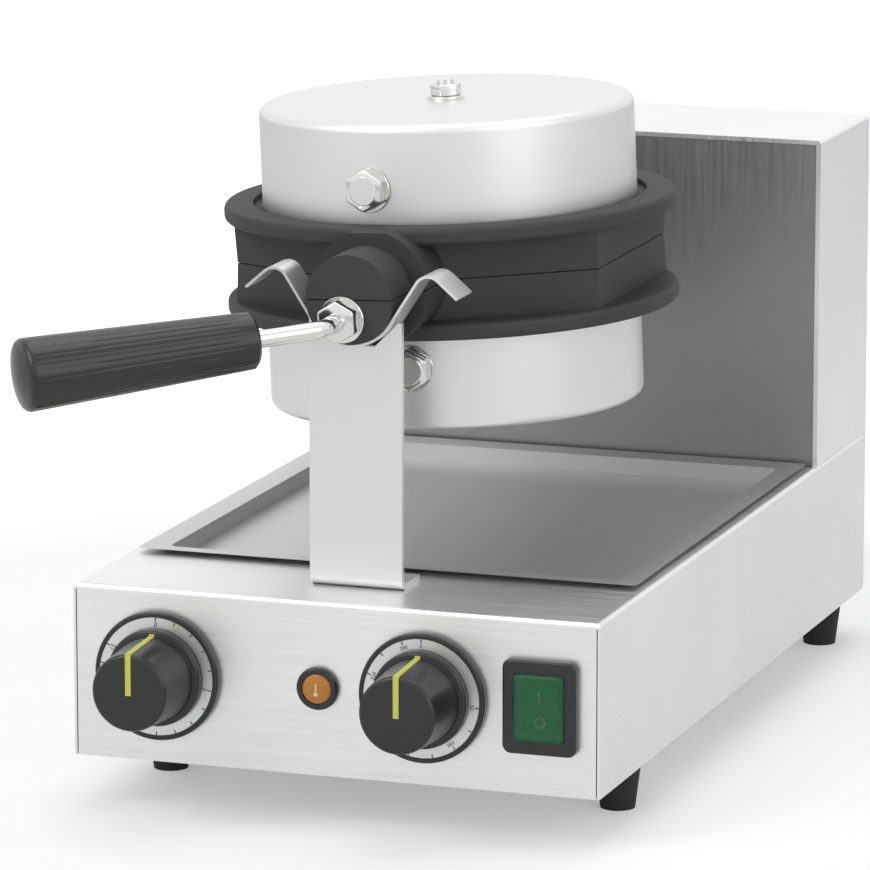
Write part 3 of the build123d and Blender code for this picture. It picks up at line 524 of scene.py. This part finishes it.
class MACHINE_OT_plates(bpy.types.Operator):
    """Finish the two cast plates with their bosses, the hinge and the shaft"""

    bl_idname = "machine.plates"
    bl_label = "Cast plates and hinge"

    def execute(self, context):
        for kind in ("_plate", "_boss"):
            fair_copy("upper" + kind, "lid", "cast_plate")
            fair_copy("lower" + kind, "head", "cast_plate")
        for node in ("hinge_pin", "hinge_yoke", "head_shaft"):
            fair_copy(node, "head", "machined_steel")
        dress("element_steel", "upper_heating_element", "lower_heating_element")
        return {"FINISHED"}


class MACHINE_OT_drums(bpy.types.Operator):
    """Spin the two heater drums and put on their bolts, studs and nuts"""

    bl_idname = "machine.drums"
    bl_label = "Heater drums"

    def drum(self):
        """The drum's outline, up the outside and down the inside."""
        centre, inside = (DRUM_RADIUS - DRUM_EDGE, DRUM_TOP - DRUM_EDGE), DRUM_RADIUS - DRUM_WALL
        outer = [(0, DRUM_TOP)] + round_corner(centre, DRUM_EDGE, 90, 0, 8)
        lip = [(DRUM_RADIUS, DRUM_BASE + 0.3), (DRUM_RADIUS - 0.3, DRUM_BASE), (inside, DRUM_BASE)]
        inner = [(inside, centre[1])] + round_corner(centre, DRUM_EDGE - DRUM_WALL, 0, 90, 6)
        return turned(outer + lip + inner + [(0, DRUM_TOP - DRUM_WALL)], 160)

    def bolt(self):
        """The side bolt with its washer and the turned crown of its head."""
        washer = turned([(0, 0), (10.4, 0), (10.6, 0.2), (10.6, 0.9), (10.4, 1.1), (0, 1.1)], 48)
        shank = turned([(0, -16), (5, -16), (5, 0.4), (0, 0.4)], 32)
        crown = turned([(0, 6.9), (6.4, 6.9), (6.8, 6.6), (6.8, 6.0), (0, 6.0)], 32)
        parts = [(washer, lift(0.05)), (shank, Matrix()), (crown, Matrix()), (hexagon(17, 5.6), lift(1.1))]
        return joined(parts)

    def execute(self, context):
        disc = [(4.1, 0), (8.4, 0), (8.6, 0.3), (8.6, 1.3), (8.4, 1.6), (4.1, 1.6), (4.1, 0)]
        x, y = DRUM_RADIUS * math.sin(SIDE_BOLT_ANGLE), -DRUM_RADIUS * math.cos(SIDE_BOLT_ANGLE)
        outward = Matrix.Translation(Vector((x, y, SIDE_BOLT_Z)) * MM)
        outward = outward @ Matrix.Rotation(SIDE_BOLT_ANGLE, 4, "Z") @ Matrix.Rotation(math.pi / 2, 4, "X")
        for side, place, body in (("upper", HEAD, "lid"), ("lower", UNDER, "head")):
            drum, bolt, nut = side + "_drum", side + "_drum_bolt", side + "_stud_nut"
            stand_in(drum, drum + "_spun", self.drum(), place, body, "drum_steel")
            stand_in(bolt, side + "_bolt_cut", self.bolt(), place @ outward, body, "zinc", hard=35)
            made = flanged_nut(disc, 48, 13, 5.4)
            stand_in(nut, nut + "_cut", made, place @ lift(DRUM_TOP), body, "zinc", hard=35)
            fair_copy(side + "_stud", body, "zinc")
        return {"FINISHED"}


class MACHINE_OT_handle(bpy.types.Operator):
    """Build the bent rod's nut and washer, its thread and the fluted grip"""

    bl_idname = "machine.handle"
    bl_label = "Handle"

    def thread(self, root=3.9, crest=4.3, pitch=1.25, turns=5):
        """The rod's thread, in front of the nut."""
        outline = [(root, 9.4)]
        for n in range(turns):
            z = 9.6 + n * pitch
            outline += [(root, z), (crest, z + 0.5), (crest, z + 0.7), (root, z + 1.15)]
        return turned(outline, 40)

    def grip(self, flute_depth, near=12.7, far=16.3, tip=104.8, length=110.0):
        """The tapered grip with a domed end and fine flutes, every sixth step around it."""
        outline = [(4.05, 0), (near - 1.5, 0), (near, 1.5)]
        stops = [6, 8] + [8 + 94 * n / 12 for n in range(1, 13)]
        outline += [(near + (far - near) * z / tip, z) for z in stops]
        outline += round_corner((far - 3, tip), 3, 0, 62, 6)
        rim, rim_z = outline[-1]
        for n in range(1, 7):
            rise = math.sin(math.pi / 2 * n / 6)
            outline.append((rim * (1 - n / 6), rim_z + (length - rim_z) * rise))
        steps = 168
        bm = turned(outline, steps)
        for vert in bm.verts:
            step = round(math.atan2(vert.co.y, vert.co.x) / (2 * math.pi) * steps)
            if 7.5 * MM < vert.co.z < 102.1 * MM and step % 6 == 0:
                radius = math.hypot(vert.co.x, vert.co.y)
                vert.co.xy *= (radius - flute_depth) / radius
        return bm

    def execute(self, context):
        looks = context.scene.machine_looks
        fair_copy("handle_rod", "head", "zinc")
        rod = HEAD @ Matrix.Translation(Vector((ROD_X, ROD_NUT_Y, ROD_Z)) * MM)
        rod = rod @ Matrix.Rotation(math.pi / 2, 4, "X")
        flange = [(4.1, 0), (10.3, 0), (10.5, 0.2), (10.5, 1.3), (10.2, 1.6), (4.1, 1.6), (4.1, 0)]
        nut = flanged_nut(flange, 56, 17, 8, chamfer=0.001)
        stand_in("handle_nut", "handle_nut_cut", nut, rod, "head", "zinc", hard=35)
        settle("rod_thread", self.thread(), rod, "head", "zinc", hard=50)
        level = math.cos(ROD_DROOP)
        run = Vector((-math.sin(ROD_SWING) * level, -math.cos(ROD_SWING) * level, -math.sin(ROD_DROOP)))
        start = Vector((ROD_X, ROD_BEND_Y, ROD_Z)) + run * GRIP_START
        place = HEAD @ Matrix.Translation(start * MM) @ run.to_track_quat("Z", "Y").to_matrix().to_4x4()
        stand_in("handle_grip", "grip_fluted", self.grip(looks.flute_depth), place, "head", "black_plastic")
        return {"FINISHED"}


class MACHINE_OT_dials(bpy.types.Operator):
    """Build the bezels, the marked dial rings and the knobs"""

    bl_idname = "machine.dials"
    bl_label = "Dials and knobs"

    # Each scale's marks with their degrees, how often a number is printed, and its height
    scales = {
        "timer": ([(m, m * 20) for m in range(16)], 5, 0.0032),
        "thermostat": ([(0, 0)] + [(t, 95 + (t - 50) * 0.98) for t in range(50, 301, 25)], 50, 0.0026),
    }
    face_height = 4.3

    def marks(self, prefix, depth):
        """Ticks and numbers of one scale, on the dial's face."""
        marks, every, height = self.scales[prefix]
        parts = []
        for number, degrees in marks:
            turn = Matrix.Rotation(math.radians(-degrees), 4, "Z")
            parts.append((block((0.0005, 0.0016, depth)), turn @ Matrix.Translation((0, 0.0263, 0))))
            if number % every == 0:
                printed = lettering(str(number), height, depth)
                parts.append((printed, turn @ Matrix.Translation((0, 0.0239, 0))))
        return joined(parts)

    def ring(self):
        """The flat ring that carries the scale."""
        low, high = 3.7, self.face_height
        rim = [(27.2, low), (27.4, 3.8), (27.4, 4.1), (27.2, high)]
        return turned([(6.5, low)] + rim + [(6.5, high), (6.5, low)], 128)

    def knob(self):
        """The tapered knob with its skirt."""
        outline = [(0, 38)] + round_corner((15.8, 36), 2, 90, 4, 7) + [(19.3, 9.8), (19.6, 9.2), (20.4, 9.0)]
        outline += round_corner((20.7, 7.4), 1.6, 90, 0, 5) + [(22.3, 5.3), (22.0, 5.0), (0, 5.0)]
        return turned(outline, 128)

    def execute(self, context):
        depth = context.scene.machine_looks.mark_depth
        for prefix, x in DIALS.items():
            dial, knob, silver = prefix + "_dial", prefix + "_knob", prefix + "_silver"
            fair_copy(prefix + "_bezel", "stand", "black_plastic")
            stand_in(dial, dial + "_ring", self.ring(), on_panel(x), "stand", silver, "dial_silver")
            face = on_panel(x, self.face_height + depth / MM / 2 - 0.02)
            settle(dial + "_marks", self.marks(prefix, depth), face, "stand", "mark_black", "black_plastic")
            stand_in(knob, knob + "_turned", self.knob(), on_panel(x), prefix, "black_plastic", hard=30)
            dress("pointer_yellow", prefix + "_pointer")
        return {"FINISHED"}


class MACHINE_OT_lamp(bpy.types.Operator):
    """Build the pilot lamp's lens and its thermometer sign"""

    bl_idname = "machine.lamp"
    bl_label = "Pilot lamp"

    def execute(self, context):
        fair_copy("pilot_bezel", "stand", "black_plastic")
        angles = [math.radians(a) for a in range(0, 91, 9)]
        dome = [(7 * math.sin(a), 2.4 + 1.6 * math.cos(a)) for a in angles]
        lens = turned(dome + [(7, 0.2), (0, 0.2)], 72)
        stand_in("pilot_lens", "lens_turned", lens, on_panel(LAMP_X), "stand", "lamp_amber")
        bulb = turned([(0, 0), (1.0, 0), (1.0, 0.3), (0, 0.3)], 24)
        stem = block((0.0007, 0.0042, 0.0003))
        places = Matrix.Translation((0, -0.0022, 0)), Matrix.Translation((0, 0.0006, 0.00015))
        sign = joined(zip((bulb, stem), places))
        settle("lens_sign", sign, on_panel(LAMP_X, 3.75), "stand", "lamp_pale", "lamp_amber")
        return {"FINISHED"}


class MACHINE_OT_switch(bpy.types.Operator):
    """Finish the rocker switch, its clear cover and its marks"""

    bl_idname = "machine.switch"
    bl_label = "Rocker switch"

    def execute(self, context):
        looks = context.scene.machine_looks
        fair_copy("switch_frame", "stand", "black_plastic")
        fair_copy("switch_cap", "stand", "cap_silicone")
        fair_copy("switch_rocker", "rocker", "rocker_green")
        rest, slope, mark_y = math.radians(6), math.atan2(1.6, 11), 0.0062
        pivot = Matrix.Translation((SWITCH_X, FRONT + 0.003, CONTROL_Z))
        pivot = pivot @ Matrix.Rotation(math.pi / 2 + rest, 4, "X")
        upper = pivot @ Matrix.Translation((0, mark_y, 0.00655)) @ Matrix.Rotation(slope, 4, "X")
        lower = pivot @ Matrix.Translation((0, -mark_y, 0.0065)) @ Matrix.Rotation(-slope, 4, "X")
        line = block((0.001, 0.0052, looks.mark_depth))
        ring = turned([(1.9, 0), (2.7, 0), (2.7, 0.15), (1.9, 0.15), (1.9, 0)], 40)
        settle("mark_on", line, upper, "rocker", "mark_pale", "rocker_green")
        settle("mark_off", ring, lower, "rocker", "mark_pale", "rocker_green")
        return {"FINISHED"}


class MACHINE_OT_stage(bpy.types.Operator):
    """Set the pale floor, the soft light, the white background and the camera"""

    bl_idname = "machine.stage"
    bl_label = "Stage"

    def lay_floor(self, scene):
        """A pale floor that turns white away from the machine, where the camera sees it."""
        bm = bmesh.new()
        bmesh.ops.create_grid(bm, x_segments=1, y_segments=1, size=12)
        mesh = bpy.data.meshes.new("floor")
        bm.to_mesh(mesh)
        bm.free()
        floor = bpy.data.objects.new("floor", mesh)
        scene.collection.objects.link(floor)
        bench = Bench("floor_white", {"Roughness": 0.9, "Specular IOR Level": 0.0, "Emission Strength": 1.0})
        bench.finish(bench.tone(bench.grain(3), grey(0.8), grey(0.81)))
        path = bench.node("ShaderNodeLightPath").outputs
        mirrored = bench.math("MAXIMUM", path["Is Glossy Ray"], path["Is Transmission Ray"])
        x, y, _ = bench.split(bench.coords)
        glow = bench.spread(bench.radius(x, y), 0.27, 1.0, start=0.45, end=1.6)
        bench.feed(bench.shader.inputs["Emission Color"], glow * path["Is Camera Ray"] + mirrored * 0.1)
        mesh.materials.append(bench.material)

    def light_world(self, scene):
        """A background that looks white and gives less light than it shows."""
        world = bpy.data.worlds.new("studio")
        scene.world = world
        world.use_nodes = True
        graph = Graph(world.node_tree)
        path = graph.node("ShaderNodeLightPath").outputs
        seen = graph.math("MAXIMUM", path["Is Camera Ray"], path["Is Transmission Ray"])
        seen = graph.math("MAXIMUM", seen, path["Is Glossy Ray"])
        backdrop = graph.tree.nodes["Background"]
        graph.feed(backdrop.inputs["Color"], graph.blend(seen, grey(0.55), grey(1)))

    def hang_lamps(self, scene, power):
        """Three soft square lamps: name, place, size, and power against the key light's setting."""
        target = Vector((0, 0.03, 0.13))
        for name, spot, size, share in (
            ("key", (-1.3, -1.7, 2.0), 1.6, 1.5),
            ("fill", (2.2, -1.2, 1.2), 1.8, 0.8),
            ("top", (0.1, 0.4, 2.4), 1.8, 0.9),
        ):
            lamp = bpy.data.lights.new(name, "AREA")
            lamp.shape = "SQUARE"
            lamp.size = size
            lamp.energy = power * share
            holder = bpy.data.objects.new(name, lamp)
            holder.location = spot
            holder.rotation_euler = (target - Vector(spot)).to_track_quat("-Z", "Y").to_euler()
            scene.collection.objects.link(holder)

    def set_camera(self, scene):
        """The photograph's camera, from a fit to the housing and the head."""
        view = bpy.data.cameras.new("camera")
        view.lens = 263.98
        view.sensor_width = 36
        camera = bpy.data.objects.new("camera", view)
        aim, back, distance = Vector((-0.02115, 0.028, 0.13985)), Vector((0.32023, -0.92535, 0.20291)), 3.0281
        camera.location = aim + back * distance
        camera.rotation_euler = (aim - camera.location).to_track_quat("-Z", "Y").to_euler()
        scene.collection.objects.link(camera)
        scene.camera = camera

    def execute(self, context):
        scene = context.scene
        self.lay_floor(scene)
        self.light_world(scene)
        self.hang_lamps(scene, scene.machine_looks.key_power)
        self.set_camera(scene)
        scene.view_settings.view_transform = "Standard"
        return {"FINISHED"}


STEPS = (
    MACHINE_OT_housing,
    MACHINE_OT_feet,
    MACHINE_OT_tray,
    MACHINE_OT_support,
    MACHINE_OT_plates,
    MACHINE_OT_drums,
    MACHINE_OT_handle,
    MACHINE_OT_dials,
    MACHINE_OT_lamp,
    MACHINE_OT_switch,
    MACHINE_OT_stage,
)


class MACHINE_PT_sidebar(bpy.types.Panel):
    """Lists the steps and the looks of the machine"""

    bl_idname = "MACHINE_PT_sidebar"
    bl_label = "Waffle Maker"
    bl_space_type = "VIEW_3D"
    bl_region_type = "UI"
    bl_category = "Waffle Maker"

    def draw(self, context):
        looks = context.scene.machine_looks
        for name in looks.bl_rna.properties.keys():
            if name not in ("rna_type", "name"):
                self.layout.prop(looks, name)
        for step in STEPS:
            self.layout.operator(step.bl_idname)


def register():
    for each in (MachineLooks, *STEPS, MACHINE_PT_sidebar):
        bpy.utils.register_class(each)
    bpy.types.Scene.machine_looks = bpy.props.PointerProperty(type=MachineLooks)


def unregister():
    del bpy.types.Scene.machine_looks
    for each in (MACHINE_PT_sidebar, *reversed(STEPS), MachineLooks):
        bpy.utils.unregister_class(each)


def main():
    register()
    make_finishes(bpy.context.scene.machine_looks)
    for step in STEPS:
        group, name = step.bl_idname.split(".")
        getattr(getattr(bpy.ops, group), name)()


if __name__ == "__main__":
    main()
